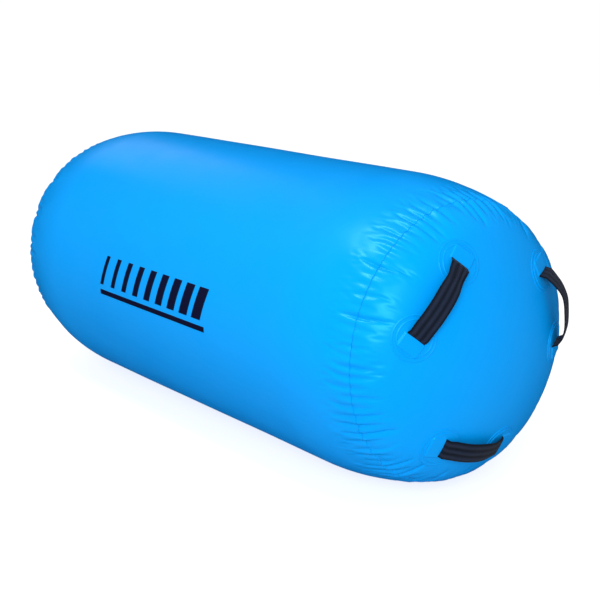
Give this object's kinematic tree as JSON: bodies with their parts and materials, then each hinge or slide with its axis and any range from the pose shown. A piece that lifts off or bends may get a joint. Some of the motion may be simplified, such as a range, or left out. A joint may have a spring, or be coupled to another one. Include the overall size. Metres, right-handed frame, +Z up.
{
  "type": "inflatable gymnastics barrel",
  "caption": "Inflatable air roller for gymnastics: a blue PVC cylinder with domed ends, webbing handles on each end and a capped push valve.",
  "frame": {"origin": "on the floor, at the middle of the flattened strip the barrel rests on, under the middle of its length", "axes": "+X along the barrel's axis to the front end, +Z up, +Y to the side away from the print"},
  "size_m": [1.7953, 0.7501, 0.7473],
  "materials": {
    "skin_blue": "gloss",
    "patch_blue": "gloss",
    "seam_tape": "satin",
    "print_navy": "satin",
    "webbing": "matte",
    "valve_plastic": "satin",
    "button_plastic": "satin",
    "tether_plastic": "matte",
    "seal_rubber": "matte",
    "spring_steel": "satin"
  },
  "bodies": {
    "barrel": {"barrel_wall": "skin_blue", "front_end_cap": "skin_blue", "front_handle_1_base_patch_a": "patch_blue", "front_handle_1_base_patch_b": "patch_blue", "front_handle_1_cover_patch_a": "patch_blue", "front_handle_1_cover_patch_b": "patch_blue", "front_handle_1_webbing_ends": "webbing", "front_handle_2_base_patch_a": "patch_blue", "front_handle_2_base_patch_b": "patch_blue", "front_handle_2_cover_patch_a": "patch_blue", "front_handle_2_cover_patch_b": "patch_blue", "front_handle_2_webbing_ends": "webbing", "front_handle_3_base_patch_a": "patch_blue", "front_handle_3_base_patch_b": "patch_blue", "front_handle_3_cover_patch_a": "patch_blue", "front_handle_3_cover_patch_b": "patch_blue", "front_handle_3_webbing_ends": "webbing", "front_seam_tape": "seam_tape", "rear_end_cap": "skin_blue", "rear_handle_1_base_patch_a": "patch_blue", "rear_handle_1_base_patch_b": "patch_blue", "rear_handle_1_cover_patch_a": "patch_blue", "rear_handle_1_cover_patch_b": "patch_blue", "rear_handle_1_webbing_ends": "webbing", "rear_handle_2_base_patch_a": "patch_blue", "rear_handle_2_base_patch_b": "patch_blue", "rear_handle_2_cover_patch_a": "patch_blue", "rear_handle_2_cover_patch_b": "patch_blue", "rear_handle_2_webbing_ends": "webbing", "rear_handle_3_base_patch_a": "patch_blue", "rear_handle_3_base_patch_b": "patch_blue", "rear_handle_3_cover_patch_a": "patch_blue", "rear_handle_3_cover_patch_b": "patch_blue", "rear_handle_3_webbing_ends": "webbing", "rear_seam_tape": "seam_tape", "side_print": "print_navy", "valve_body": "valve_plastic", "valve_clamp_nut": "valve_plastic", "valve_gasket": "seal_rubber", "valve_patch": "patch_blue", "valve_spring": "spring_steel", "valve_tether_anchor": "tether_plastic", "wall_seam_tape": "seam_tape"},
    "front_handle_1": {"front_handle_1_grip": "webbing"},
    "front_handle_2": {"front_handle_2_grip": "webbing"},
    "front_handle_3": {"front_handle_3_grip": "webbing"},
    "rear_handle_1": {"rear_handle_1_grip": "webbing"},
    "rear_handle_2": {"rear_handle_2_grip": "webbing"},
    "rear_handle_3": {"rear_handle_3_grip": "webbing"},
    "valve_plunger": {"valve_diaphragm": "seal_rubber"},
    "valve_stem": {"valve_stem": "button_plastic", "valve_button": "button_plastic"},
    "valve_cap": {"valve_cap": "valve_plastic", "valve_cap_seal": "seal_rubber", "valve_tether_loop": "tether_plastic"}
  },
  "joints": [
    {"name": "front_handle_1_swing", "type": "hinge", "parent": "barrel", "child": "front_handle_1", "pos_m": [0.83652, 0.21049, 0.44068], "axis": [0, -0.309, 0.9511], "range_deg": [-28, 28]},
    {"name": "front_handle_2_swing", "type": "hinge", "parent": "barrel", "child": "front_handle_2", "pos_m": [0.83652, -0.16447, 0.52038], "axis": [0, -0.6691, -0.7431], "range_deg": [-28, 28]},
    {"name": "front_handle_3_swing", "type": "hinge", "parent": "barrel", "child": "front_handle_3", "pos_m": [0.83652, -0.04602, 0.1558], "axis": [0, 0.9781, -0.2079], "range_deg": [-28, 28]},
    {"name": "rear_handle_1_swing", "type": "hinge", "parent": "barrel", "child": "rear_handle_1", "pos_m": [-0.83652, 0.21049, 0.44068], "axis": [0, -0.309, 0.9511], "range_deg": [-28, 28]},
    {"name": "rear_handle_2_swing", "type": "hinge", "parent": "barrel", "child": "rear_handle_2", "pos_m": [-0.83652, -0.16447, 0.52038], "axis": [0, -0.6691, -0.7431], "range_deg": [-28, 28]},
    {"name": "rear_handle_3_swing", "type": "hinge", "parent": "barrel", "child": "rear_handle_3", "pos_m": [-0.83652, -0.04602, 0.1558], "axis": [0, 0.9781, -0.2079], "range_deg": [-28, 28]},
    {"name": "valve_plunger_push", "type": "slide", "parent": "barrel", "child": "valve_plunger", "axis": [1, 0, 0], "range_m": [0, 0.006], "stiffness_N_per_m": 900, "springref_m": -0.002, "deforming": ["valve_spring"]},
    {"name": "valve_button_turn", "type": "hinge", "parent": "valve_plunger", "child": "valve_stem", "pos_m": [-0.886, 0, 0.37229], "axis": [1, 0, 0], "range_deg": [0, 90]},
    {"name": "valve_cap_flip", "type": "hinge", "parent": "barrel", "child": "valve_cap", "pos_m": [-0.89455, 0, 0.34229], "axis": [0, -1, 0], "range_deg": [0, 160]}
  ]
}
